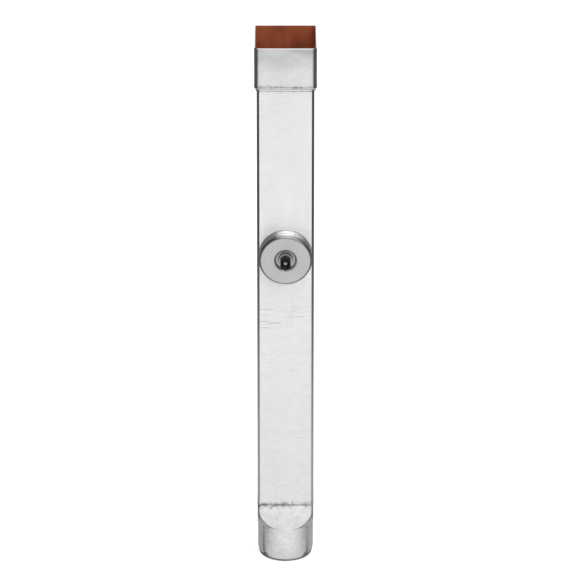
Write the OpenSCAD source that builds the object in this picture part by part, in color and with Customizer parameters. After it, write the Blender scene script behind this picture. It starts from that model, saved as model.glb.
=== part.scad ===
// Square rainwater standpipe: a plug-in socket at the top, a round access opening with an
// expanding plug in the front, and a square-to-round reducer with a round spigot at the bottom.
// Millimetres, +Z up, the access lid faces -Y. The origin is the centre of the spigot's lower end.

/* [Square pipe] */
// Outer width of the square pipe
pipe_w = 100; // [100:1:130]
// Sheet thickness of the pipe, the socket and the spigot
wall = 2; // [1.5:0.1:2.6]
// Outer corner radius of the square pipe
corner_r = 5; // [4:0.5:6]
// Overall length from the spigot's end to the socket's rim
total_h = 1000; // [800:10:1500]
// Thickness of the red-brown coating on the inside
coat = 0.4; // [0.2:0.1:0.8]

/* [Top socket] */
// Gap on each side between the socket and the pipe that plugs into it
socket_gap = 2.5; // [1:0.1:4]
// Straight depth of the socket
socket_depth = 75; // [50:1:110]
// Height of the sloping shoulder below the socket
shoulder_h = 8; // [6:0.5:14]

/* [Round spigot] */
// Outer diameter of the spigot
spigot_d = 99; // [92:1:99]
// Straight and drawn-in length of the spigot together
spigot_len = 63; // [45:1:90]
// How far the spigot's end is drawn in on each side, to lead it into its socket
lead_in = 2.5; // [1:0.5:4]
// Height of the drawn-in end
lead_h = 12; // [6:1:20]
// Radius of the pressed corners where the square turns into the round
reducer_r = 69; // [45:1:69]
// Height of the reducer above the spigot, up to its weld
reducer_len = 52; // [50:1:80]

/* [Welds] */
// Width of the butt weld beads around the pipe
bead_w = 5; // [3:0.5:7]
// How far the beads stand out from the sheet in their middle
bead_h = 0.7; // [0.4:0.1:1.2]
// How far the beads stand out at their edges
bead_edge = 0.15; // [0.1:0.05:0.3]
// Leg of the fillet weld around the access collar
fillet_leg = 1.2; // [0.6:0.1:1.2]

/* [Access opening] */
// Height of the opening's centre above the spigot's end
access_z = 610; // [300:10:700]
// Clear bore of the opening
access_bore = 80; // [64:1:80]
// Wall of the welded collar
collar_wall = 3; // [2:0.2:3]
// Height of the collar in front of the pipe
collar_h = 22.5; // [14:0.5:25]

/* [Access lid] */
// Sheet thickness of the lid
lid_sheet = 2; // [1.5:0.1:2.5]
// Gap between the collar and the inside of the lid's skirt
skirt_gap = 1.5; // [0.8:0.1:2]
// Gap between the skirt's lower edge and the pipe
skirt_lift = 1; // [0.6:0.1:4]
// Outer radius of the lid's pressed edge
edge_r = 4; // [2.6:0.2:5]
// Diameter of the dish's wall in the middle of the lid
dish_d = 36; // [34:1:44]
// Depth of the dish
dish_depth = 5.2; // [5.2:0.2:10]
// Radius of the dish's mouth
mouth_r = 3; // [2.6:0.1:3]
// Radius between the dish's wall and its floor
floor_r = 2; // [1:0.5:2]
// Thickness of the flat gasket between the collar and the lid
gasket_t = 3.5; // [2:0.5:5]

/* [Expanding plug] */
// Gap between the rubber ring and the bore
ring_gap = 0.3; // [0.2:0.1:1]
// Length of the rubber ring
ring_len = 16; // [14:0.5:22]
// Inner diameter of the rubber ring
ring_bore = 44; // [30:1:48]
// Gap between the two discs' rims and the bore
disc_gap = 2; // [1:0.1:4]
// Thickness of the discs
disc_t = 4; // [3:0.5:6]
// Height of the cones that press into the rubber ring
cone_h = 5; // [3:0.5:6]
// How much wider the cones are at their foot than at their tip, on each side
cone_flare = 5; // [3:0.5:7]
// Gap between the cones and their seats in the rubber
cone_gap = 0.3; // [0.2:0.1:0.6]

/* [Bolt and nut] */
// Diameter of the bolt
bolt_d = 12; // [10:1:12]
// Radial clearance of the bolt in the lid, the discs and the washers
bolt_clear = 0.6; // [0.4:0.1:1]
// Radial running clearance of the nut on the bolt
thread_clear = 0.05; // [0.02:0.01:0.1]
// Diameter of the bolt's round head
head_d = 28; // [24:1:32]
// Height of the bolt's round head
head_h = 6; // [5:0.5:8]
// Clearance of the bolt's square neck in the inner disc, on each side
neck_clear = 0.2; // [0.1:0.1:0.4]
// Distance across the nut's flats
nut_af = 18; // [17:1:19]
// Height of the nut
nut_h = 18; // [12:1:22]
// Height of the bolt's domed end
tip_h = 1.5; // [0.5:0.5:3]
// How far the bolt's end lies inside the nut
bolt_inset = 4; // [1:0.5:6]
// Outer diameter of the steel washer
washer_d = 24; // [22:1:26]
// Thickness of the steel washer
washer_t = 2.5; // [2:0.5:3]
// Outer diameter of the rubber sealing washer
seal_d = 26; // [22:1:28]
// Thickness of the rubber sealing washer
seal_t = 1.5; // [1:0.5:2]
// Width of small edge chamfers
chamfer = 1; // [0.5:0.1:1.2]

/* [Hidden] */
$fn = 96;
eps = 0.01;
past = 1;

zinc = [0.86, 0.87, 0.88];
weld_grey = [0.66, 0.67, 0.68];
coating_red = [0.48, 0.23, 0.15];
stainless = [0.70, 0.71, 0.72];
black_steel = [0.08, 0.08, 0.09];
rubber = [0.05, 0.05, 0.05];

// The socket keeps the pipe's corner centres, so its corner radius grows with its width
socket_step = socket_gap + wall;
socket_r = corner_r + socket_step;
corner_at = pipe_w / 2 - corner_r;
socket_z = total_h - socket_depth;
shoulder_z = socket_z - shoulder_h;
shoulder_tilt = atan(socket_step / shoulder_h);

// The reducer's pressed corners are arcs about one circle, cut by the pipe's four flats
spigot_r = spigot_d / 2;
reducer_z = spigot_len + reducer_len;
corner_reach = corner_at * sqrt(2) + corner_r + past;
arc_r = corner_reach - reducer_r;
arc_z = spigot_len + sqrt(pow(reducer_r, 2) - pow(spigot_r - arc_r, 2));

// The beads' crown is a flat arc of this radius
bead_crown = bead_h - bead_edge;
bead_r = (pow(bead_crown, 2) + pow(bead_w / 2, 2)) / (2 * bead_crown);

// Distances u outward from the pipe's front, along the access opening's axis
bore_r = access_bore / 2;
collar_r = bore_r + collar_wall;
lid_r = collar_r + skirt_gap + lid_sheet;
face_u = collar_h + gasket_t + lid_sheet;
dish_u = face_u - dish_depth;
disc_u = dish_u - lid_sheet - disc_t;
ring_u = disc_u - ring_len;
inner_u = ring_u - disc_t;
washer_u = dish_u + seal_t;
nut_u = washer_u + washer_t;
bolt_end_u = nut_u + nut_h - bolt_inset;

bolt_r = bolt_d / 2;
hole_r = bolt_r + bolt_clear;
dish_r = dish_d / 2;
ring_r = bore_r - ring_gap;
disc_r = bore_r - disc_gap;
cone_tip_r = ring_bore / 2 - cone_gap;

// How far a bend moves up the shoulder when the sheet's surface is set in by inset
function bend_shift(inset) = inset * tan(shoulder_tilt / 2);

module at_access() {
    translate([0, -pipe_w / 2, access_z]) rotate([90, 0, 0]) children();
}

module at_corners() {
    for (x = [-1, 1], y = [-1, 1]) translate([x * corner_at, y * corner_at, 0]) children();
}

// A ring between two radii and two heights along the turning axis
module ring_section(inner, outer, low, high) {
    translate([inner, low]) square([outer - inner, high - low]);
}

module rounded_square(r) {
    side = 2 * (corner_at + r);
    square([side, 2 * corner_at], center = true);
    square([2 * corner_at, side], center = true);
    at_corners() circle(r);
}

module square_bar(r, low, high) {
    translate([0, 0, low]) linear_extrude(high - low) rounded_square(r);
}

// A rounded square that widens evenly from corner radius r1 to r2
module square_cone(r1, r2, low, high) {
    half1 = corner_at + r1;
    half2 = corner_at + r2;
    outline = [[-half1, low], [half1, low], [half2, high], [-half2, high]];
    for (turn = [0, 90])
        rotate([90, 0, turn]) linear_extrude(2 * corner_at, center = true) polygon(outline);
    translate([0, 0, low]) at_corners() cylinder(h = high - low, r1 = r1, r2 = r2);
}

// Filled section of the spigot and of the reducer's pressed corners, carried straight on above them
module lower_section(inset, low, high) {
    r = spigot_r - inset;
    lead_r = r - lead_in;
    intersection() {
        union() {
            polygon([[0, low], [lead_r, low], [lead_r, 0], [r, lead_h], [r, arc_z], [0, arc_z]]);
            translate([arc_r, arc_z]) circle(reducer_r - inset);
            ring_section(0, corner_reach - inset, arc_z, high);
        }
        ring_section(0, corner_reach, low, high);
    }
}

// The outer form of the spigot and the reducer, or the space inside them, from low to high
module lower_core(inset, low, high) {
    intersection() {
        rotate_extrude() lower_section(inset, low, high);
        square_bar(corner_r - inset, low - past, high + past);
    }
}

// The socket's sloping shoulder and its wide square above it
module socket_core(inset, high) {
    r = corner_r - inset;
    low = shoulder_z + bend_shift(inset);
    square_cone(r, socket_r - inset, low, low + shoulder_h);
    square_bar(socket_r - inset, low + shoulder_h, high);
}

module access_hole(r) {
    at_access() translate([0, 0, -corner_at]) cylinder(r = r, h = corner_at + past);
}

// Straight and turned lengths of one bead that runs around the square pipe
module square_bead(z) {
    module bead_section() {
        intersection() {
            translate([bead_h - bead_r, 0]) circle(bead_r);
            translate([0, -bead_w / 2]) square([bead_h, bead_w]);
        }
    }
    translate([0, 0, z])
        for (side = [0 : 3])
            rotate([0, 0, 90 * side]) {
                translate([pipe_w / 2, corner_at, 0])
                    rotate([90, 0, 0]) linear_extrude(2 * corner_at) bead_section();
                translate([corner_at, corner_at, 0])
                    rotate_extrude(angle = 90) translate([corner_r, 0]) bead_section();
            }
}

// Filled section of the lid's pressed sheet, with its surface set in by inset
module lid_section(inset, low) {
    floor_u = dish_u - inset;
    ring_section(dish_r + mouth_r, lid_r - edge_r, low, face_u - inset);
    ring_section(dish_r + inset, dish_r + mouth_r, low, face_u - mouth_r);
    ring_section(lid_r - edge_r, lid_r - inset, low, face_u - edge_r);
    ring_section(0, dish_r + inset, low, floor_u);
    translate([dish_r + mouth_r, face_u - mouth_r]) circle(mouth_r - inset);
    translate([lid_r - edge_r, face_u - edge_r]) circle(edge_r - inset);
    difference() {
        ring_section(dish_r - floor_r, dish_r + inset, floor_u - eps, dish_u + floor_r);
        translate([dish_r - floor_r, dish_u + floor_r]) circle(floor_r + inset);
    }
}

// A plug disc with the cone that presses into the rubber, cone upward from the flat side at 0
module plug_disc() {
    rotate_extrude()
        polygon([[hole_r, -disc_t], [disc_r - chamfer, -disc_t], [disc_r, chamfer - disc_t], [disc_r, 0],
                 [cone_tip_r + cone_flare, 0], [cone_tip_r, cone_h], [hole_r, cone_h]]);
}

// A flat dome that stands on a circle of radius r
module dome(r, h) {
    sphere_r = (pow(r, 2) + pow(h, 2)) / (2 * h);
    rotate_extrude() intersection() {
        translate([0, h - sphere_r]) circle(sphere_r);
        ring_section(0, r, 0, h);
    }
}

module flat_washer(u, r, t) {
    at_access() rotate_extrude() ring_section(hole_r, r, u, u + t);
}

module square_pipe() {
    color(zinc) difference() {
        union() {
            square_bar(corner_r, reducer_z, socket_z);
            square_cone(corner_r, socket_r, shoulder_z, socket_z);
        }
        square_bar(corner_r - wall, reducer_z - past, socket_z);
        socket_core(wall, socket_z + past);
        access_hole(bore_r);
    }
}

module top_socket() {
    color(zinc) difference() {
        square_bar(socket_r, socket_z, total_h);
        socket_core(wall, total_h + past);
    }
}

// The bead follows the shoulder's slope below the joint and the socket's wall above it
module socket_weld() {
    half = bead_w / 2;
    low_r = socket_r - half * socket_step / shoulder_h;
    color(weld_grey) difference() {
        union() {
            square_bar(low_r, socket_z - half, socket_z + half);
            square_cone(low_r + bead_edge, socket_r + bead_h, socket_z - half, socket_z);
            square_cone(socket_r + bead_h, socket_r + bead_edge, socket_z, socket_z + half);
        }
        socket_core(0, total_h);
    }
}

module round_spigot() {
    color(zinc) difference() {
        lower_core(0, 0, reducer_z);
        lower_core(wall, -past, reducer_z + past);
    }
}

module spigot_weld() {
    color(weld_grey) square_bead(reducer_z);
}

module inner_coating() {
    module inside(inset, low, high) {
        lower_core(inset, low, high);
        socket_core(inset, high);
    }
    color(coating_red) difference() {
        inside(wall, 0, total_h);
        inside(wall + coat, -past, total_h + past);
        access_hole(bore_r);
    }
}

module access_collar() {
    color(zinc) at_access() rotate_extrude() ring_section(bore_r, collar_r, 0, collar_h);
}

module collar_weld() {
    color(weld_grey) at_access()
        rotate_extrude() polygon([[collar_r, 0], [collar_r + fillet_leg, 0], [collar_r, fillet_leg]]);
}

module access_lid() {
    color(stainless) at_access() rotate_extrude() difference() {
        lid_section(0, skirt_lift);
        lid_section(lid_sheet, skirt_lift - past);
        ring_section(0, hole_r, 0, face_u);
    }
}

module lid_gasket() {
    gasket_r = lid_r - edge_r;
    color(rubber) at_access() rotate_extrude() ring_section(bore_r, gasket_r, collar_h, collar_h + gasket_t);
}

module pressure_disc() {
    color(zinc) at_access() translate([0, 0, disc_u]) mirror([0, 0, 1]) plug_disc();
}

module expansion_ring() {
    seat_r = ring_bore / 2 + cone_flare;
    top_u = ring_u + ring_len;
    color(rubber) at_access() rotate_extrude()
        polygon([[ring_bore / 2, ring_u + cone_h], [seat_r, ring_u], [ring_r - chamfer, ring_u],
                 [ring_r, ring_u + chamfer], [ring_r, top_u - chamfer], [ring_r - chamfer, top_u],
                 [seat_r, top_u], [ring_bore / 2, top_u - cone_h]]);
}

module inner_disc() {
    neck_hole = bolt_d + 2 * neck_clear;
    color(zinc) at_access() translate([0, 0, ring_u]) difference() {
        union() {
            plug_disc();
            translate([0, 0, -disc_t]) cylinder(r = neck_hole, h = disc_t);
        }
        cube([neck_hole, neck_hole, 3 * disc_t], center = true);
    }
}

module plug_bolt() {
    color(black_steel) at_access() {
        translate([0, 0, inner_u]) mirror([0, 0, 1]) dome(head_d / 2, head_h);
        translate([-bolt_r, -bolt_r, inner_u]) cube([bolt_d, bolt_d, disc_t]);
        translate([0, 0, inner_u]) cylinder(r = bolt_r, h = bolt_end_u - tip_h - inner_u);
        translate([0, 0, bolt_end_u - tip_h]) dome(bolt_r, tip_h);
    }
}

module bolt_seal() {
    color(rubber) flat_washer(dish_u, seal_d / 2, seal_t);
}

module bolt_washer() {
    color(zinc) flat_washer(washer_u, washer_d / 2, washer_t);
}

module hex_nut() {
    corner = nut_af / 2 / cos(30);
    flat_r = nut_af / 2;
    slope = (corner - flat_r) * tan(30);
    bore = bolt_r + thread_clear;
    color(black_steel) at_access() translate([0, 0, nut_u]) difference() {
        intersection() {
            rotate([0, 0, 30]) cylinder(r = corner, h = nut_h, $fn = 6);
            rotate_extrude()
                polygon([[0, 0], [corner, 0], [corner + eps, nut_h - slope], [flat_r, nut_h], [0, nut_h]]);
        }
        translate([0, 0, -past]) cylinder(r = bore, h = nut_h + 2 * past);
        translate([0, 0, nut_h - chamfer]) cylinder(r1 = bore, r2 = bore + chamfer + eps, h = chamfer + eps);
    }
}

square_pipe();
top_socket();
socket_weld();
round_spigot();
spigot_weld();
inner_coating();
access_collar();
collar_weld();
access_lid();
lid_gasket();
pressure_disc();
expansion_ring();
inner_disc();
plug_bolt();
bolt_seal();
bolt_washer();
hex_nut();
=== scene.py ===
import math
from collections import namedtuple

import bpy
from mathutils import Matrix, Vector, noise


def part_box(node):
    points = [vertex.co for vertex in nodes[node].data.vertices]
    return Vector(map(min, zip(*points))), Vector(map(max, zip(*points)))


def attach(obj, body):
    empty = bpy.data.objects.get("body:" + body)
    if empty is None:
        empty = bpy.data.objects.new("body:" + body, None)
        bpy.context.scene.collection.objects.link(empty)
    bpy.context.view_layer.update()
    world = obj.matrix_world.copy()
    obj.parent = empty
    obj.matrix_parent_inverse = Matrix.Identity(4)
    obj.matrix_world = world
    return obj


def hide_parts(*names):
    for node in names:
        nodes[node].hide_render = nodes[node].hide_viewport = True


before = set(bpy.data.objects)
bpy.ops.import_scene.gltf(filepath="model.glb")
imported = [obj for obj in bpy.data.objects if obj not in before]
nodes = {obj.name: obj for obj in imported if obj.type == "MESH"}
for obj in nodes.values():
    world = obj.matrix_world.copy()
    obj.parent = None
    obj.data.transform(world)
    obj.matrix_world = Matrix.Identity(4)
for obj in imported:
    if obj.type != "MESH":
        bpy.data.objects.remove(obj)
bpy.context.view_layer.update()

# Lengths are in metres, in the part's frame: +Z up, the access lid faces -Y.
# The pipe, with sizes from the CAD nodes' boxes and those that a box doesn't tell.
collar_low, collar_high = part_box("access_collar")
socket_low, socket_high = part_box("top_socket")
bead_low, bead_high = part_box("spigot_weld")
PIPE_HALF = -collar_high.y
CORNER_R = 0.005
CORNER_AT = PIPE_HALF - CORNER_R
SOCKET_STEP = socket_high.x - PIPE_HALF
SHOULDER_H = 0.008
SOCKET_WELD_Z = socket_low.z
RIM_Z = socket_high.z
SPIGOT_WELD_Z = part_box("round_spigot")[1].z
SCORED_Z = 0.490
ACCESS_Z = (collar_low.z + collar_high.z) / 2.0
COLLAR_R = collar_high.x

# The lid.
lid_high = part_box("access_lid")[1]
LID_SHEET = 0.002
SKIRT_R = lid_high.x - LID_SHEET
LID_END_Y = lid_high.y
DISH_R = 0.021


def reach(node):
    """Where a node begins and ends, out from the pipe's front along the access opening's axis."""
    low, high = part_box(node)
    return -high.y - PIPE_HALF, -low.y - PIPE_HALF


# The bolt and the nut; a name that ends in U is a distance out from the pipe's front.
HEAD_U, BOLT_END_U = reach("plug_bolt")
DISC_U = reach("inner_disc")[0]
NECK_U = reach("expansion_ring")[0]
NUT_U, NUT_END_U = reach("hex_nut")
HEAD_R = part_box("plug_bolt")[1].x
NUT_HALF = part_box("hex_nut")[1].x
THREAD_U = NECK_U + 0.002
TIP_U = BOLT_END_U - 0.0015
PITCH = 0.00175
BOLT_R = 0.006
BOLT_SHANK_R = BOLT_R - 0.00003
THREAD_DEPTH = 0.001
THREAD_PLAY = 0.00008
NUT_CHAMFER = 0.001
NUT_RIM_R = NUT_HALF - 0.0002
NUT_LEAN = math.tan(math.radians(30.0))

# The thread's shape, in shares of a pitch: half the width at its foot, and the width of a flank.
BOLT_THREAD_FOOT = 0.44
NUT_THREAD_FOOT = 0.47
THREAD_FLANK = 0.34

# How finely the bolt and the nut are meshed, and the angle from which an edge is sharp.
THREAD_RINGS = 9
BOLT_SIDES = 48
NUT_SIDES = 72
HEAD_RINGS = 10
TIP_RINGS = 8
TIP_TILT = math.radians(12.0)
SHARP_ANGLE = math.radians(38.0)

# The weld beads: heights, the noise scales of their lumps and edges, and shares of the full height.
BEAD_HALF = (bead_high.z - bead_low.z) / 2.0
BEAD_H = 0.00045
BEAD_SINK = 0.00006
BEAD_ROOT = 0.0006
BEAD_PITCH = 0.0009
BEAD_STEPS = 10
BEND_STEPS = 8
EDGE_SCALE = 330.0
EDGE_SHIFT = Vector((7.0, 0.0, 0.0))
EDGE_SHARE = 0.62
EDGE_VARY = 0.5
RIPPLE_PITCH = 0.0026
RIPPLE_BEND = 0.35
RIPPLE_BASE = 0.72
RIPPLE_SHARE = 0.22
LUMP_SCALE = 170.0
LUMP_SHARE = 0.2
FINE_LUMP_SCALE = 520.0
FINE_LUMP_SHARE = 0.5
FILLET_LEG = 0.00115
FILLET_BASE = 0.78
FILLET_VARY = 0.22
FILLET_STEPS = 6
FILLET_ROWS = 300
FILLET_START = math.radians(-8.0)
FILLET_SWEEP = math.radians(106.0)
FILLET_INNER = 0.0005
FILLET_SUNK = 0.0003


def grey(value):
    return (value, value, value, 1.0)


# A noise pattern: how many features a metre has, how much fine detail, its scale along X, Y and Z, where a
# small value draws it out, the limits of a smooth step for a mask, and its depth when used as relief.
Pattern = namedtuple("Pattern", "scale detail stretch cut depth", defaults=((1.0, 1.0, 1.0), None, 0.0))
# A stain: how much of the colour below it covers, and its own colour.
Stain = namedtuple("Stain", "strength colour")
# A burnt seam: the weld's height and how far the patches reach from it.
Seam = namedtuple("Seam", "height reach")

# Between these limits lies most of what a noise gives.
MOST = (0.2, 0.8)

# Zinc: patterns, shares of the tone, stains and changes of roughness and metallic where a mark lies.
SPANGLE_SCALE = 110.0
STREAK = Pattern(40.0, 3.0, (1.0, 1.0, 0.06))
HAZE = Pattern(11.0, 4.0)
FLECK = Pattern(240.0, 3.0)
WAVE = Pattern(14.0, 1.0)
ZINC_GRIT = Pattern(600.0, 3.0, depth=0.00003)
SPANGLE_SHARE = 0.16
OTHER_SHARES = 1.04
# Heights over which the pipe's zinc runs from painted shade at its lower end to painted light at its upper
# end.
SHADE_Z = (0.15, 0.55)
HAZE_CUT = (0.25, 0.75)
HAZE_SMOOTHER = 0.04
HAZE_ROUGHER = 0.06
BURNT = Stain(0.8, grey(0.2))
BURNT_ROUGHER = 0.15
HEAT_REACH = 1.9 * COLLAR_R
HEAT_SKIN = 0.001
HEAT_ROUGHER = 0.12
HEAT_DULLER = -0.28

# Smudges below the socket's rim, and the worn rim above them.
SMUDGE = Pattern(45.0, 4.0, (0.4, 0.4, 1.0), (0.3, 0.7, 0.3, 1.0))
SMUDGE_Z = (RIM_Z - 0.053, RIM_Z - 0.003)
WORN_Z = (RIM_Z - 0.0025, RIM_Z - 0.001, 1.0, 0.2)
SMUDGED = Stain(0.78, grey(0.45))

# Bent corners: a painted dark reflection, full above this height and fainter below it.
CORNER_DARK_Z = 0.70
CORNER_FAINT = 0.5
BENT_CORNER_SHADE = Stain(0.95, grey(0.05))
BENT_SMOOTHER = -0.14

# Scratches: their slant, the loose patches and the scored band.
SCRATCH = Pattern(420.0, 3.0, (0.05, 0.05, 1.0), (0.54, 0.68), 0.00002)
SCRATCH_PATCH = Pattern(9.0, 2.0, (0.4, 0.4, 1.0), (0.5, 0.66, 0.0, 0.4))
SCRATCH_SLANT = -0.07
SCORED_BAND = (0.008, 0.034, 1.0, 0.0)
SCRATCHED = Stain(0.6, grey(0.38))

# Burnt seams: the drift of their edges, the patches and the broken line.
SEAM_DRIFT = Pattern(110.0, 4.0)
SEAM_PATCH = Pattern(150.0, 4.0, cut=(0.38, 0.58))
SEAM_WIDE = Pattern(34.0, 2.0, cut=(0.30, 0.52))
SEAM_BREAK = Pattern(60.0, 2.0, cut=(0.32, 0.52))
SEAM_RAGGED = 1.6
SEAM_LINE = (0.0003, 0.0012, 0.75, 0.0)
SEAM_LINE_RAGGED = 0.002
SOCKET_SEAM = Seam(SOCKET_WELD_Z + 0.0032, 0.004)
SHOULDER_SEAM = Seam(SOCKET_WELD_Z - 0.0058, 0.0018)
SPIGOT_SEAM = Seam(SPIGOT_WELD_Z + 0.0005, 0.010)

# Weld steel.
WELD_PATCH = Pattern(160.0, 4.0)
WELD_SOOT = Pattern(60.0, 3.0, cut=(0.46, 0.62))
WELD_GRIT = Pattern(900.0, 3.0, depth=0.0001)
WELD_DARK = grey(0.48)
WELD_PALE = grey(0.88)
WELD_ROUGH = (0.36, 0.55)
WELD_BURNT = Stain(0.8, grey(0.14))
SOCKET_SOOT = Stain(0.15, grey(0.20))
SPIGOT_SOOT = Stain(0.55, grey(0.20))

# The coating inside, paler towards the rim as painted light.
RUN = Pattern(60.0, 4.0, (1.0, 1.0, 0.12), depth=0.0006)
RUN_CUT = (0.3, 0.7)
SPECK = Pattern(260.0, 3.0, depth=0.0002)
COAT_PATCH = Pattern(26.0, 2.0, cut=(0.35, 0.65))
RUN_SHARE = 0.2
SPECK_SHARE = 0.15
COAT_PATCH_SHARE = 0.2
RIM_LIGHT_SHARE = 0.34
COAT_DARK = (0.08, 0.015, 0.007, 1.0)
COAT_PALE = (0.36, 0.092, 0.038, 1.0)
COAT_ROUGH = (0.36, 0.52)

# Turned steel: the zones by radius and depth, and the colours of the skirt, its end and the lid's edge;
# the skirt's dark colour is partly painted shade, its end carries a painted shadow and the lid's edge band
# a painted shade.
RINGS = Pattern(1400.0, 2.0, depth=0.00003)
BROAD_RINGS = Pattern(260.0, 3.0, depth=0.00006)
SMEAR = Pattern(45.0, 3.0)
TURNED_VARY = 0.05
SKIRT_ZONE = (SKIRT_R, SKIRT_R + 0.0008)
SKIRT_CUT = (0.38, 0.62)
SKIRT_DARK = grey(0.13)
SKIRT_PALE = grey(0.58)
SKIRT_ROUGHER = 0.15
SKIRT_BRUSHED = 0.97
QUARTER_TURN = 0.25
HEM_ZONE = (LID_END_Y - 0.0055, LID_END_Y - 0.0015, 0.0, 0.5)
HEM_SHADOW_COLOUR = grey(0.04)
EDGE_ZONE = (SKIRT_R - 0.0022, SKIRT_R - 0.0008, 0.0, 0.7)
EDGE_SHADE_COLOUR = grey(0.12)
DISH_ZONE = (DISH_R - 0.001, DISH_R + 0.001, 1.0, 0.0)
DISH_ROUGHER = 0.18

# Blackened steel and rubber.
BLACKING = Pattern(220.0, 4.0)
BLACK_GRIT = Pattern(1500.0, 2.0, depth=0.00004)
BLACK_ROUGH = (0.2, 0.34)
BLOOM = Pattern(60.0, 3.0)
RUBBER_GRIT = Pattern(700.0, 3.0, depth=0.00008)
RUBBER_DARK = (0.010, 0.010, 0.010, 1.0)
RUBBER_PALE = (0.034, 0.033, 0.032, 1.0)
RUBBER_ROUGH = (0.6, 0.8)

# The studio by direction, in degrees: turn away from straight in front of the lid, and rise from level.
FRONT_TURN = (28.0, 42.0)
BACK_TURN = (124.0, 138.0)
FLANK_TURN = 90.0
FLANK_HALF = (14.0, 24.0)
FLOOR_RISE = (-15.0, -10.0)
NADIR_RISE = (-62.0, -46.0)
ABOVE_RISE = (45.0, 55.0)
BOX_RISE = (18.0, 21.0)
# The light above leans to the right and the light box in front stands to the right by these angles.
ABOVE_LEAN = math.radians(13.0)
BOX_TURN = 20.0
# How bright each direction is, where white is 1.
FLOOR_FRONT = 1.0
FLOOR_SIDE = 0.26
FLOOR_FLANK = 0.60
FLOOR_BACK = 0.76
ROOM_FRONT = 0.08
ROOM_SIDE = 0.25
ROOM_BACK = 0.85
NADIR = 0.9
ABOVE = 1.0
BOX = 3.0

# The floor, its paper and how much the camera sees it lifted towards white.
FLOOR_HALF = 4.0
FLOOR_Z = -0.001
PAPER = Pattern(60.0, 2.0)
PAPER_DARK = grey(0.84)
PAPER_PALE = grey(0.88)
PAPER_GLOW = 1.15
PAPER_LIFT = 0.55

# The floor card: the foot of the dark gap beside the spigot, the direction across it, and the card's
# tones by the distance from the gap, the direction from the spigot and the distance from its middle.
CARD_HALF = 0.26
CARD_Z = -0.0005
GAP_FOOT = (0.039, 0.0305)
GAP_ACROSS = (0.242, 0.970)
CARD_AHEAD = (0.030, 0.085, 0.69, 0.84)
CARD_FACING = (0.2, 1.0, 0.5, 1.0)
CARD_GAP = (0.003, 0.008, 0.08, 1.0)
CARD_FOOT = (0.0500, 0.0525, 0.1, 1.0)

# The lamp above.
LAMP_PLACE = Vector((0.0, -0.5, 3.0))
LAMP_AIM = Vector((0.0, 0.0, 0.5))
LAMP_SIZE = 2.2
LAMP_WATTS = 40.0

# Camera: a long lens in front of the part, looking down on it.
CAM_ELEVATION = math.radians(25.0)
CAM_DISTANCE = 9.0
CAM_AIM = Vector((-0.0009, 0.0, 0.527))
CAM_LENS = 321.6
CAM_SENSOR = 36.0
CAM_CLIP = 100.0

# Sockets of the Mix node when it mixes colours.
MIX_FACTOR = 0
MIX_A = 6
MIX_B = 7
MIX_RESULT = 2


def put(tree, socket, value):
    if isinstance(value, bpy.types.NodeSocket):
        tree.links.new(value, socket)
    else:
        socket.default_value = value


def add(tree, kind, inputs=None, **attributes):
    """A new shader node; an input's value is a number, a colour or another node's socket."""
    new = tree.nodes.new(kind)
    for name, value in attributes.items():
        setattr(new, name, value)
    for key, value in (inputs or {}).items():
        put(tree, new.inputs[key], value)
    return new


def calc(tree, operation, a, b=0.0):
    return add(tree, "ShaderNodeMath", {0: a, 1: b}, operation=operation).outputs[0]


def vector_calc(tree, operation, a, b=(0.0, 0.0, 0.0)):
    return add(tree, "ShaderNodeVectorMath", {0: a, 1: b}, operation=operation)


def axis(tree, place, letter):
    return add(tree, "ShaderNodeSeparateXYZ", {0: place}).outputs[letter]


def magnitude(tree, value):
    return calc(tree, "ABSOLUTE", value)


def product(tree, first, *others):
    for other in others:
        first = calc(tree, "MULTIPLY", first, other)
    return first


def changed(tree, value, mask, amount):
    """The value, changed by the amount where the mask is 1."""
    return calc(tree, "ADD", value, calc(tree, "MULTIPLY", mask, amount))


def weighted(tree, *pairs):
    """The sum of sockets, each times its weight."""
    total = calc(tree, "MULTIPLY", *pairs[0])
    for value, weight in pairs[1:]:
        total = changed(tree, total, value, weight)
    return total


def step(tree, value, low, high, start=0.0, end=1.0):
    """Runs smoothly from start to end while value goes from low to high."""
    limits = {"Value": value, "From Min": low, "From Max": high, "To Min": start, "To Max": end}
    return add(tree, "ShaderNodeMapRange", limits, interpolation_type="SMOOTHSTEP").outputs[0]


def cloud(tree, place, pattern):
    """Noise from 0 to 1, through the pattern's smooth step if it has one."""
    moved = add(tree, "ShaderNodeMapping", {"Vector": place, "Scale": pattern.stretch}).outputs[0]
    inputs = {"Vector": moved, "Scale": pattern.scale, "Detail": pattern.detail}
    value = add(tree, "ShaderNodeTexNoise", inputs).outputs["Fac"]
    if pattern.cut is None:
        return value
    return step(tree, value, *pattern.cut)


def tint(tree, fac, a, b):
    mix = add(tree, "ShaderNodeMix", data_type="RGBA")
    put(tree, mix.inputs[MIX_FACTOR], fac)
    put(tree, mix.inputs[MIX_A], a)
    put(tree, mix.inputs[MIX_B], b)
    return mix.outputs[MIX_RESULT]


def stained(tree, colour, mask, stain):
    """The colour with a stain on it where the mask is 1."""
    return tint(tree, calc(tree, "MULTIPLY", mask, stain.strength), colour, stain.colour)


def bump(tree, height, depth, below=None):
    inputs = {"Height": height, "Distance": depth, "Strength": 1.0}
    if below is not None:
        inputs["Normal"] = below
    return add(tree, "ShaderNodeBump", inputs).outputs[0]


def relief(tree, place, pattern, below=None):
    return bump(tree, cloud(tree, place, pattern), pattern.depth, below)


def start_material(name):
    """A material with its tree, its principled shader and the object's own coordinates."""
    made = bpy.data.materials.new(name)
    made.use_nodes = True
    tree = made.node_tree
    shader = tree.nodes["Principled BSDF"]
    place = add(tree, "ShaderNodeTexCoord").outputs["Object"]
    return made, tree, shader, place


def wire(tree, shader, **inputs):
    """Sets inputs of the principled shader; an underscore stands for a space in an input's name."""
    for name, value in inputs.items():
        put(tree, shader.inputs[name.replace("_", " ")], value)


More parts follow.
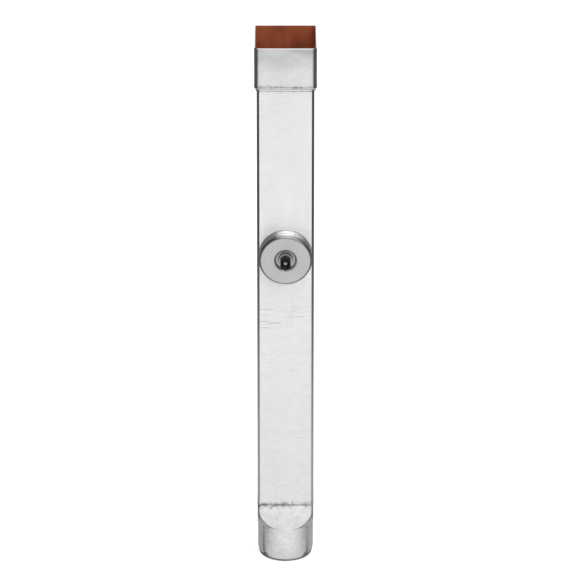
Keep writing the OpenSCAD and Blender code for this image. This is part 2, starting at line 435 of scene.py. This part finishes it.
def seam_mark(tree, place, seam):
    """Burnt patches along a weld and a thin broken line in it, from 0 to 1."""
    drift = calc(tree, "SUBTRACT", cloud(tree, place, SEAM_DRIFT), 0.5)
    offset = calc(tree, "SUBTRACT", axis(tree, place, "Z"), seam.height)
    away = magnitude(tree, changed(tree, offset, drift, SEAM_RAGGED * seam.reach))
    near = step(tree, away, 0.0, seam.reach, 1.0, 0.0)
    burnt = product(tree, near, cloud(tree, place, SEAM_PATCH), cloud(tree, place, SEAM_WIDE))
    thin = magnitude(tree, changed(tree, offset, drift, SEAM_LINE_RAGGED))
    line = product(tree, step(tree, thin, *SEAM_LINE), cloud(tree, place, SEAM_BREAK))
    return calc(tree, "MAXIMUM", burnt, line)


def corner_mark(tree, place, fade):
    """1 on the square's bent corners, 0 on its flats, and fainter towards the pipe's lower end; it carries
    the corners' painted dark reflection.
    """
    x = magnitude(tree, axis(tree, place, "X"))
    y = magnitude(tree, axis(tree, place, "Y"))
    bent = step(tree, calc(tree, "MINIMUM", x, y), CORNER_AT, CORNER_AT + fade)
    z = axis(tree, place, "Z")
    return product(tree, bent, step(tree, z, SPIGOT_WELD_Z, CORNER_DARK_Z, CORNER_FAINT, 1.0))


def smudge_mark(tree, place):
    """Smudges that thicken towards the socket's rim and leave the worn rim itself bright, from 0 to 1."""
    z = axis(tree, place, "Z")
    return product(tree, cloud(tree, place, SMUDGE), step(tree, z, *SMUDGE_Z), step(tree, z, *WORN_Z))


def heat_mark(tree, place):
    """1 on the pipe's front around the access collar, where welding dulled the zinc, fading out to 0."""
    centred = vector_calc(tree, "ADD", place, (0.0, PIPE_HALF, -ACCESS_Z)).outputs[0]
    away = vector_calc(tree, "LENGTH", centred).outputs["Value"]
    near = step(tree, away, COLLAR_R, HEAT_REACH, 1.0, 0.0)
    behind = magnitude(tree, axis(tree, centred, "Y"))
    return product(tree, near, step(tree, behind, 0.0, HEAT_SKIN, 1.0, 0.0))


def scratch_mark(tree, place):
    """Fine slanted scratches across the pipe, in loose patches and in one scored band, from 0 to 1."""
    x = axis(tree, place, "X")
    y = axis(tree, place, "Y")
    slanted = changed(tree, axis(tree, place, "Z"), x, SCRATCH_SLANT)
    sheared = add(tree, "ShaderNodeCombineXYZ", {"X": x, "Y": y, "Z": slanted}).outputs[0]
    away = magnitude(tree, calc(tree, "SUBTRACT", slanted, SCORED_Z))
    where = calc(tree, "MAXIMUM", cloud(tree, place, SCRATCH_PATCH), step(tree, away, *SCORED_BAND))
    return product(tree, cloud(tree, sheared, SCRATCH), where)


def zinc_material(name, dark, bright, rough, seams=(), coarse=0.4, wave=0.0007, fade=0.0012, metallic=0.9,
                  heated=False, shade=None):
    """Galvanised sheet: faint spangle, streaks, scratches, marks and a slightly wavy surface.

    coarse is the share of streaks and of haze, fade the width over which the painted shade on bent corners
    sets in,
    and shade the painted shade and light: the change of tone at the pipe's lower and upper end.
    """
    made, tree, shader, place = start_material(name)
    cells = add(tree, "ShaderNodeTexVoronoi", {"Vector": place, "Scale": SPANGLE_SCALE}).outputs["Color"]
    spangle = add(tree, "ShaderNodeSeparateColor", {"Color": cells}).outputs[0]
    streak = cloud(tree, place, STREAK)
    haze = cloud(tree, place, HAZE)
    fleck = cloud(tree, place, FLECK)
    fine = OTHER_SHARES - 2.0 * coarse
    tone = weighted(tree, (spangle, SPANGLE_SHARE), (streak, coarse), (haze, coarse), (fleck, fine))
    # Painted shade and light: the tone darkens towards the pipe's lower end and pales towards its upper
    # end.
    if shade:
        tone = calc(tree, "ADD", tone, step(tree, axis(tree, place, "Z"), *SHADE_Z, *shade))
    colour = tint(tree, tone, dark, bright)
    scratch = scratch_mark(tree, place)
    colour = stained(tree, colour, scratch, SCRATCHED)
    roughness = step(tree, haze, *HAZE_CUT, rough - HAZE_SMOOTHER, rough + HAZE_ROUGHER)
    for seam in seams:
        mark = seam_mark(tree, place, seam)
        colour = stained(tree, colour, mark, BURNT)
        roughness = changed(tree, roughness, mark, BURNT_ROUGHER)
    if heated:
        heat = heat_mark(tree, place)
        roughness = changed(tree, roughness, heat, HEAT_ROUGHER)
        metallic = calc(tree, "ADD", metallic, calc(tree, "MULTIPLY", heat, HEAT_DULLER))
    colour = stained(tree, colour, smudge_mark(tree, place), SMUDGED)
    bent = corner_mark(tree, place, fade)
    # Painted shade: the bent corners are darkened to stand in for their dark reflection.
    colour = stained(tree, colour, bent, BENT_CORNER_SHADE)
    roughness = changed(tree, roughness, bent, BENT_SMOOTHER)
    wire(tree, shader, Base_Color=colour, Metallic=metallic, Roughness=roughness)
    wavy = bump(tree, cloud(tree, place, WAVE), wave)
    scored = bump(tree, scratch, SCRATCH.depth, wavy)
    wire(tree, shader, Normal=relief(tree, place, ZINC_GRIT, scored))
    return made


def weld_material(name, seam, soot):
    """Bare weld steel with soot and the burnt marks of its seam."""
    made, tree, shader, place = start_material(name)
    patch = cloud(tree, place, WELD_PATCH)
    colour = tint(tree, patch, WELD_DARK, WELD_PALE)
    colour = stained(tree, colour, cloud(tree, place, WELD_SOOT), soot)
    colour = stained(tree, colour, seam_mark(tree, place, seam), WELD_BURNT)
    wire(tree, shader, Base_Color=colour, Metallic=1.0)
    wire(tree, shader, Roughness=step(tree, patch, *MOST, *WELD_ROUGH))
    wire(tree, shader, Normal=relief(tree, place, WELD_GRIT))
    return made


def coating_material():
    """Red-brown paint with faint runs and specks, and painted light that makes it paler towards the
    socket's rim.
    """
    made, tree, shader, place = start_material("inner_coat")
    # Painted light: the coating pales towards the rim.
    near_rim = step(tree, axis(tree, place, "Z"), SOCKET_WELD_Z, RIM_Z)
    run = cloud(tree, place, RUN)
    speck = cloud(tree, place, SPECK)
    patch = cloud(tree, place, COAT_PATCH)
    tone = weighted(tree, (step(tree, run, *RUN_CUT), RUN_SHARE), (speck, SPECK_SHARE),
                    (patch, COAT_PATCH_SHARE), (near_rim, RIM_LIGHT_SHARE))
    wire(tree, shader, Base_Color=tint(tree, tone, COAT_DARK, COAT_PALE))
    wire(tree, shader, Roughness=step(tree, speck, *MOST, *COAT_ROUGH))
    wire(tree, shader, Normal=bump(tree, run, RUN.depth, bump(tree, speck, SPECK.depth)))
    return made


def turned_material(name, dark, bright, rough):
    """Turned steel: fine rings about the access opening's axis; the skirt is brushed around the axis. The
    lid's edge band is darkened as painted shade, the skirt's open end as painted shadow, and the skirt's
    streaked colour is dark partly as painted shade.
    """
    made, tree, shader, place = start_material(name)
    centred = vector_calc(tree, "ADD", place, (0.0, 0.0, -ACCESS_Z)).outputs[0]
    flat = vector_calc(tree, "MULTIPLY", centred, (1.0, 0.0, 1.0)).outputs[0]
    radius = vector_calc(tree, "LENGTH", flat).outputs["Value"]
    around = vector_calc(tree, "CROSS_PRODUCT", flat, (0.0, 1.0, 0.0)).outputs[0]
    tangent = vector_calc(tree, "NORMALIZE", around).outputs[0]
    depth = axis(tree, place, "Y")
    across = add(tree, "ShaderNodeCombineXYZ", {"X": radius, "Y": depth}).outputs[0]
    broad = cloud(tree, across, BROAD_RINGS)
    smear = cloud(tree, place, SMEAR)
    skirt = step(tree, radius, *SKIRT_ZONE)
    face = tint(tree, weighted(tree, (broad, 0.5), (smear, 0.5)), dark, bright)
    # Painted shade: a dark band at the lid's edge, between the face and the skirt.
    face = tint(tree, step(tree, radius, *EDGE_ZONE), face, EDGE_SHADE_COLOUR)
    # The skirt's streaks are turned marks; its dark colour is partly painted shade for the dark
    # reflections on its flanks.
    skirt_streaks_and_shade = tint(tree, step(tree, broad, *SKIRT_CUT), SKIRT_DARK, SKIRT_PALE)
    # Painted shadow: the skirt darkens to near black at its open end, against the pipe.
    skirt_streaks_and_shade = tint(tree, step(tree, depth, *HEM_ZONE), skirt_streaks_and_shade, HEM_SHADOW_COLOUR)
    roughness = step(tree, smear, *MOST, rough - TURNED_VARY, rough + TURNED_VARY)
    roughness = changed(tree, roughness, skirt, SKIRT_ROUGHER)
    roughness = changed(tree, roughness, step(tree, radius, *DISH_ZONE), DISH_ROUGHER)
    brushed = calc(tree, "MULTIPLY", skirt, SKIRT_BRUSHED)
    wire(tree, shader, Base_Color=tint(tree, skirt, face, skirt_streaks_and_shade), Metallic=1.0, Roughness=roughness)
    wire(tree, shader, Anisotropic=brushed, Anisotropic_Rotation=QUARTER_TURN, Tangent=tangent)
    wire(tree, shader, Normal=relief(tree, across, RINGS, bump(tree, broad, BROAD_RINGS.depth)))
    return made


def black_material(name, dark, bright, metallic, specular):
    """Blackened steel with an uneven sheen."""
    made, tree, shader, place = start_material(name)
    patch = cloud(tree, place, BLACKING)
    wire(tree, shader, Base_Color=tint(tree, patch, dark, bright))
    wire(tree, shader, Metallic=metallic, Specular_IOR_Level=specular)
    wire(tree, shader, Roughness=step(tree, patch, *MOST, *BLACK_ROUGH))
    wire(tree, shader, Normal=relief(tree, place, BLACK_GRIT))
    return made


def rubber_material():
    """Black rubber with a faint bloom."""
    made, tree, shader, place = start_material("black_rubber")
    bloom = cloud(tree, place, BLOOM)
    wire(tree, shader, Base_Color=tint(tree, bloom, RUBBER_DARK, RUBBER_PALE))
    wire(tree, shader, Roughness=step(tree, bloom, *MOST, *RUBBER_ROUGH))
    wire(tree, shader, Normal=relief(tree, place, RUBBER_GRIT))
    return made


# The pipe's zinc carries painted shade at its lower end and painted light at its upper end.
pipe_zinc = zinc_material(
    "pipe_zinc", dark=grey(0.76), bright=grey(1.0), rough=0.40, seams=[SPIGOT_SEAM, SHOULDER_SEAM],
    coarse=0.32, heated=True, shade=(-0.17, 0.27))
spigot_zinc = zinc_material(
    "spigot_zinc", dark=grey(0.56), bright=grey(1.0), rough=0.21, seams=[SPIGOT_SEAM],
    coarse=0.26, wave=0.0003)
# The socket's zinc is darker than the pipe's as painted shade.
socket_zinc = zinc_material(
    "socket_zinc", dark=grey(0.68), bright=grey(1.0), rough=0.38, seams=[SOCKET_SEAM], fade=0.006)
# The collar's zinc is a much darker copy of the pipe's zinc: painted shade.
collar_zinc = zinc_material("collar_zinc", dark=grey(0.26), bright=grey(0.46), rough=0.40)
plug_zinc = zinc_material(
    "plug_zinc", dark=(0.34, 0.34, 0.33, 1.0), bright=(0.56, 0.55, 0.52, 1.0), rough=0.34, metallic=0.6)
stainless = turned_material("turned_stainless", dark=grey(0.50), bright=grey(0.64), rough=0.28)
socket_bead_steel = weld_material("socket_bead_steel", SOCKET_SEAM, SOCKET_SOOT)
spigot_bead_steel = weld_material("spigot_bead_steel", SPIGOT_SEAM, SPIGOT_SOOT)
coating = coating_material()
nut_black = black_material("nut_black", grey(0.002), grey(0.010), metallic=0.0, specular=0.08)
bolt_black = black_material("bolt_black", grey(0.28), grey(0.44), metallic=1.0, specular=0.5)
rubber = rubber_material()

FINISHES = {
    "square_pipe": pipe_zinc,
    "round_spigot": spigot_zinc,
    "top_socket": socket_zinc,
    "access_collar": collar_zinc,
    "inner_coating": coating,
    "access_lid": stainless,
    "lid_gasket": rubber,
    "expansion_ring": rubber,
    "bolt_seal": rubber,
    "pressure_disc": plug_zinc,
    "inner_disc": plug_zinc,
    "bolt_washer": plug_zinc,
}
for node, finish in FINISHES.items():
    slots = nodes[node].data.materials
    slots.clear()
    slots.append(finish)


def make_piece(name, rows, material, body, node, closed=True):
    """A mesh over rows of points, each row a closed loop; an open stack of rows gets end caps."""
    count = len(rows[0])
    points = [p for row in rows for p in row]
    faces = []
    for i in range(len(rows) if closed else len(rows) - 1):
        a = i * count
        b = (i + 1) % len(rows) * count
        for j in range(count):
            k = (j + 1) % count
            faces.append((a + j, a + k, b + k, b + j))
    if not closed:
        faces.append(tuple(reversed(range(count))))
        faces.append(tuple(range(len(points) - count, len(points))))
    mesh = bpy.data.meshes.new(name)
    mesh.from_pydata(points, [], faces)
    mesh.polygons.foreach_set("use_smooth", [True] * len(mesh.polygons))
    mesh.set_sharp_from_angle(angle=SHARP_ANGLE)
    mesh.materials.append(material)
    piece = bpy.data.objects.new(name, mesh)
    bpy.context.scene.collection.objects.link(piece)
    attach(piece, body)
    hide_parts(node)


def square_path():
    """Around the square, for each point its place without the corner radius and the outward direction."""
    path = []
    for quarter in range(4):
        start = quarter * math.pi / 2
        turn = Vector((math.cos(start), math.sin(start), 0.0))
        along = Vector((-turn.y, turn.x, 0.0))
        for i in range(round(2.0 * CORNER_AT / BEAD_PITCH)):
            path.append((turn * CORNER_AT + along * (i * BEAD_PITCH - CORNER_AT), turn))
        for i in range(BEND_STEPS):
            angle = (quarter + i / BEND_STEPS) * math.pi / 2
            path.append(((turn + along) * CORNER_AT, Vector((math.cos(angle), math.sin(angle), 0.0))))
    return path


def ripple(point, across, where):
    """A bead's share of its full height at a place: fish scales along it and uneven lumps."""
    scale = 0.5 + 0.5 * math.cos(2.0 * math.pi * (where / RIPPLE_PITCH - RIPPLE_BEND * across * across))
    lump = noise.noise(point * LUMP_SCALE) + FINE_LUMP_SHARE * noise.noise(point * FINE_LUMP_SCALE)
    return RIPPLE_BASE + RIPPLE_SHARE * scale + LUMP_SHARE * lump


def square_bead(name, height, wide, slope, material, node):
    """A lumpy bead around the square pipe: wide is the wall's offset, slope its inward lean below."""
    rows = []
    where = 0.0
    last = None
    for base, out in square_path():
        spot = base + out * (CORNER_R + wide) + Vector((0.0, 0.0, height))
        where += (spot - last).length if last else 0.0
        last = spot
        low = -BEAD_HALF * (EDGE_SHARE + EDGE_VARY * noise.noise(spot * EDGE_SCALE))
        high = BEAD_HALF * (EDGE_SHARE + EDGE_VARY * noise.noise(spot * EDGE_SCALE + EDGE_SHIFT))
        row = []
        for i in range(BEAD_STEPS + 1):
            share = i / BEAD_STEPS
            across = 2.0 * share - 1.0
            rise = low + (high - low) * share
            stand = BEAD_H * (1.0 - across * across) * ripple(spot, across, where) - BEAD_SINK
            row.append(spot + out * (stand + slope * min(rise, 0.0)) + Vector((0.0, 0.0, rise)))
        for rise in (high, low):
            row.append(spot + out * (slope * min(rise, 0.0) - BEAD_ROOT) + Vector((0.0, 0.0, rise)))
        rows.append(row[::-1])
    make_piece(name, rows, material, "pipe", node)


def collar_bead():
    """The lumpy fillet weld around the access collar's foot."""
    rows = []
    for i in range(FILLET_ROWS):
        angle = 2.0 * math.pi * i / FILLET_ROWS
        out = Vector((math.cos(angle), 0.0, math.sin(angle)))
        foot = Vector((0.0, -PIPE_HALF, ACCESS_Z)) + out * COLLAR_R
        row = []
        for j in range(FILLET_STEPS + 1):
            share = j / FILLET_STEPS
            tilt = FILLET_START + FILLET_SWEEP * share
            full = ripple(foot, 2.0 * share - 1.0, angle * COLLAR_R)
            leg = FILLET_LEG * (FILLET_BASE + FILLET_VARY * full)
            row.append(foot + out * leg * math.cos(tilt) + Vector((0.0, -leg * math.sin(tilt), 0.0)))
        row.append(foot - out * FILLET_INNER + Vector((0.0, FILLET_SUNK, 0.0)))
        rows.append(row[::-1])
    make_piece("collar_fillet", rows, spigot_bead_steel, "pipe", "collar_weld")


def on_axis(u, radius, angle):
    """A point at that distance out from the pipe's front, about the access opening's axis."""
    return Vector((radius * math.cos(angle), -PIPE_HALF - u, ACCESS_Z + radius * math.sin(angle)))


def thread_height(u, angle, foot):
    """How high the thread stands at a place, from 0 at its root to 1 at its crest."""
    phase = (u / PITCH - angle / (2.0 * math.pi)) % 1.0
    return min(max((foot - abs(phase - 0.5)) / THREAD_FLANK, 0.0), 1.0)


def turned_rows(profile, count):
    """Rows about the axis from (u, radius) pairs; a radius can be a function of u and the angle."""
    rows = []
    for u, radius in profile:
        row = []
        for j in range(count):
            angle = 2.0 * math.pi * j / count
            if callable(radius):
                row.append(on_axis(*radius(u, angle)))
            else:
                row.append(on_axis(u, radius, angle))
        rows.append(row)
    return rows


def threaded_bolt():
    """The plug's bolt: a domed head, a square neck, a rolled thread and a domed end."""

    def neck(u, angle):
        return u, BOLT_R / max(abs(math.cos(angle)), abs(math.sin(angle))), angle

    def thread(u, angle):
        """The thread runs out over its first turn."""
        full = min(max((u - THREAD_U) / PITCH, 0.0), 1.0)
        cut = THREAD_DEPTH * full * (1.0 - thread_height(u, angle, BOLT_THREAD_FOOT))
        return u, BOLT_SHANK_R - cut, angle

    profile = []
    for i in range(1, HEAD_RINGS + 1):
        share = i / HEAD_RINGS
        profile.append((HEAD_U + (DISC_U - HEAD_U) * share * share, HEAD_R * share))
    profile += [(DISC_U, neck), (NECK_U, neck), (NECK_U, BOLT_SHANK_R)]
    for i in range(int((TIP_U - THREAD_U) / PITCH * THREAD_RINGS) + 1):
        profile.append((THREAD_U + i * PITCH / THREAD_RINGS, thread))
    root = BOLT_R - THREAD_DEPTH
    for i in range(TIP_RINGS):
        tilt = TIP_TILT * i
        profile.append((TIP_U + (BOLT_END_U - TIP_U) * math.sin(tilt), root * math.cos(tilt)))
    rows = turned_rows(profile, BOLT_SIDES)
    make_piece("threaded_bolt", rows, bolt_black, "clamp", "plug_bolt", closed=False)


def threaded_nut():
    """The tall hexagon nut with chamfered ends and its inner thread."""
    mouth = BOLT_R + NUT_CHAMFER
    middle = (NUT_U + NUT_END_U) / 2.0

    def hexagon(u, angle):
        """Across the flats left and right; the ends lean in towards the corners."""
        turn = (angle + math.pi / 6) % (math.pi / 3) - math.pi / 6
        radius = NUT_HALF / math.cos(turn)
        lean = (radius - NUT_RIM_R) * NUT_LEAN
        return (NUT_U + lean if u < middle else NUT_END_U - lean), radius, angle

    def thread(u, angle):
        root = BOLT_R - THREAD_DEPTH + THREAD_PLAY
        return u, root + THREAD_DEPTH * thread_height(u, angle, NUT_THREAD_FOOT), angle

    profile = [(NUT_U, mouth), (NUT_U, NUT_RIM_R), (NUT_U, hexagon)]
    profile += [(NUT_END_U, hexagon), (NUT_END_U, NUT_RIM_R), (NUT_END_U, mouth)]
    threaded = NUT_END_U - NUT_U - 2.0 * NUT_CHAMFER
    for i in range(int(threaded / PITCH * THREAD_RINGS) + 1):
        profile.append((NUT_END_U - NUT_CHAMFER - i * PITCH / THREAD_RINGS, thread))
    rows = turned_rows(profile, NUT_SIDES)
    make_piece("threaded_nut", rows, nut_black, "nut", "hex_nut")


SHOULDER_SLOPE = SOCKET_STEP / SHOULDER_H
square_bead("socket_bead", SOCKET_WELD_Z, SOCKET_STEP, SHOULDER_SLOPE, socket_bead_steel, "socket_weld")
square_bead("spigot_bead", SPIGOT_WELD_Z, 0.0, 0.0, spigot_bead_steel, "spigot_weld")
collar_bead()
threaded_bolt()
threaded_nut()


def make_world():
    """What the metal mirrors, by direction: pale floor in front, at the flanks and behind, darker gaps
    between them, a soft light above and a light box in front. The camera alone sees plain white."""
    world = bpy.data.worlds.new("studio")
    bpy.context.scene.world = world
    world.use_nodes = True
    tree = world.node_tree
    tree.nodes.clear()
    direction = add(tree, "ShaderNodeTexCoord").outputs["Generated"]
    x = axis(tree, direction, "X")
    z = axis(tree, direction, "Z")
    forward = calc(tree, "MULTIPLY", axis(tree, direction, "Y"), -1.0)
    signed = calc(tree, "DEGREES", calc(tree, "ARCTAN2", x, forward))
    turn = magnitude(tree, signed)
    rise = calc(tree, "DEGREES", calc(tree, "ARCSINE", z))
    front = step(tree, turn, *FRONT_TURN, 1.0, 0.0)
    back = step(tree, turn, *BACK_TURN)
    side = calc(tree, "SUBTRACT", 1.0, calc(tree, "MAXIMUM", front, back))
    from_flank = magnitude(tree, calc(tree, "SUBTRACT", turn, FLANK_TURN))
    flank = step(tree, from_flank, *FLANK_HALF, 1.0, 0.0)
    below = step(tree, rise, *FLOOR_RISE, 1.0, 0.0)
    room = calc(tree, "SUBTRACT", 1.0, below)
    nadir = step(tree, rise, *NADIR_RISE, NADIR, 1.0)
    leant = weighted(tree, (x, math.sin(ABOVE_LEAN)), (z, math.cos(ABOVE_LEAN)))
    above = step(tree, calc(tree, "DEGREES", calc(tree, "ARCSINE", leant)), *ABOVE_RISE)
    from_box = magnitude(tree, calc(tree, "SUBTRACT", signed, BOX_TURN))
    box = product(tree, step(tree, from_box, *FRONT_TURN, 1.0, 0.0), step(tree, rise, *BOX_RISE))
    floor_tone = weighted(tree, (front, FLOOR_FRONT), (side, FLOOR_SIDE), (flank, FLOOR_FLANK),
                          (back, FLOOR_BACK))
    room_tone = weighted(tree, (front, ROOM_FRONT), (side, ROOM_SIDE), (back, ROOM_BACK))
    tone = weighted(tree, (product(tree, floor_tone, nadir, below), 1.0), (above, ABOVE), (box, BOX))
    tone = changed(tree, tone, room_tone, room)
    seen = add(tree, "ShaderNodeLightPath").outputs["Is Camera Ray"]
    lit = add(tree, "ShaderNodeBackground", {"Color": grey(1.0), "Strength": tone}).outputs[0]
    white = add(tree, "ShaderNodeBackground", {"Color": grey(1.0), "Strength": 1.0}).outputs[0]
    either = add(tree, "ShaderNodeMixShader", {0: seen, 1: lit, 2: white}).outputs[0]
    add(tree, "ShaderNodeOutputWorld", {"Surface": either})


def start_stage_material(name):
    """A material without a shader, its tree and the object's own coordinates."""
    made = bpy.data.materials.new(name)
    made.use_nodes = True
    tree = made.node_tree
    tree.nodes.clear()
    place = add(tree, "ShaderNodeTexCoord").outputs["Object"]
    return made, tree, place


def make_plane(name, half, height, material):
    mesh = bpy.data.meshes.new(name)
    corners = [(-half, -half, height), (half, -half, height), (half, half, height), (-half, half, height)]
    mesh.from_pydata(corners, [], [(0, 1, 2, 3)])
    mesh.materials.append(material)
    plane = bpy.data.objects.new(name, mesh)
    bpy.context.scene.collection.objects.link(plane)
    return plane


def make_floor():
    """A pale floor that keeps the part's shadow; the camera sees it as white paper."""
    made, tree, place = start_stage_material("paper")
    shade = tint(tree, cloud(tree, place, PAPER), PAPER_DARK, PAPER_PALE)
    paper = add(tree, "ShaderNodeBsdfDiffuse", {"Color": shade}).outputs[0]
    glow = add(tree, "ShaderNodeEmission", {"Color": grey(1.0), "Strength": PAPER_GLOW}).outputs[0]
    lifted = add(tree, "ShaderNodeMixShader", {0: PAPER_LIFT, 1: paper, 2: glow}).outputs[0]
    seen = add(tree, "ShaderNodeLightPath").outputs["Is Camera Ray"]
    shown = add(tree, "ShaderNodeMixShader", {0: seen, 1: paper, 2: lifted}).outputs[0]
    add(tree, "ShaderNodeOutputMaterial", {"Surface": shown})
    floor = make_plane("floor", FLOOR_HALF, FLOOR_Z, made)
    floor.visible_glossy = False


def make_card():
    """What the spigot mirrors: a glowing card that only reflections see, standing in for paper on the
    floor; paler in front, with a dark gap on each side and dark at the spigot's foot, painted reflections
    that draw the spigot's pale and dark lines and a dark line at its foot.
    """
    made, tree, place = start_stage_material("floor_card")
    forward = calc(tree, "MULTIPLY", axis(tree, place, "Y"), -1.0)
    sideways = calc(tree, "SUBTRACT", magnitude(tree, axis(tree, place, "X")), GAP_FOOT[0])
    ahead = calc(tree, "SUBTRACT", forward, GAP_FOOT[1])
    away = weighted(tree, (sideways, GAP_ACROSS[0]), (ahead, GAP_ACROSS[1]))
    out = vector_calc(tree, "LENGTH", place).outputs["Value"]
    facing = calc(tree, "DIVIDE", forward, out)
    tone = product(tree, step(tree, away, *CARD_AHEAD), step(tree, facing, *CARD_FACING))
    tone = product(tree, tone, step(tree, magnitude(tree, away), *CARD_GAP), step(tree, out, *CARD_FOOT))
    glow = add(tree, "ShaderNodeEmission", {"Color": grey(1.0), "Strength": tone}).outputs[0]
    add(tree, "ShaderNodeOutputMaterial", {"Surface": glow})
    card = make_plane("floor_card", CARD_HALF, CARD_Z, made)
    card.visible_camera = False
    card.visible_diffuse = False
    card.visible_shadow = False


def make_lamp():
    data = bpy.data.lights.new("overhead", "AREA")
    data.shape = "RECTANGLE"
    data.size = LAMP_SIZE
    data.size_y = LAMP_SIZE
    data.energy = LAMP_WATTS
    lamp = bpy.data.objects.new("overhead", data)
    lamp.location = LAMP_PLACE
    lamp.rotation_euler = (LAMP_AIM - LAMP_PLACE).to_track_quat("-Z", "Y").to_euler()
    bpy.context.scene.collection.objects.link(lamp)


def make_camera():
    data = bpy.data.cameras.new("camera")
    data.lens = CAM_LENS
    data.sensor_width = CAM_SENSOR
    data.clip_end = CAM_CLIP
    camera = bpy.data.objects.new("camera", data)
    back = Vector((0.0, -math.cos(CAM_ELEVATION), math.sin(CAM_ELEVATION)))
    camera.location = CAM_AIM + CAM_DISTANCE * back
    camera.rotation_euler = (-back).to_track_quat("-Z", "Y").to_euler()
    bpy.context.scene.collection.objects.link(camera)
    bpy.context.scene.camera = camera


make_world()
make_floor()
make_card()
make_lamp()
make_camera()
bpy.context.scene.view_settings.view_transform = "Standard"
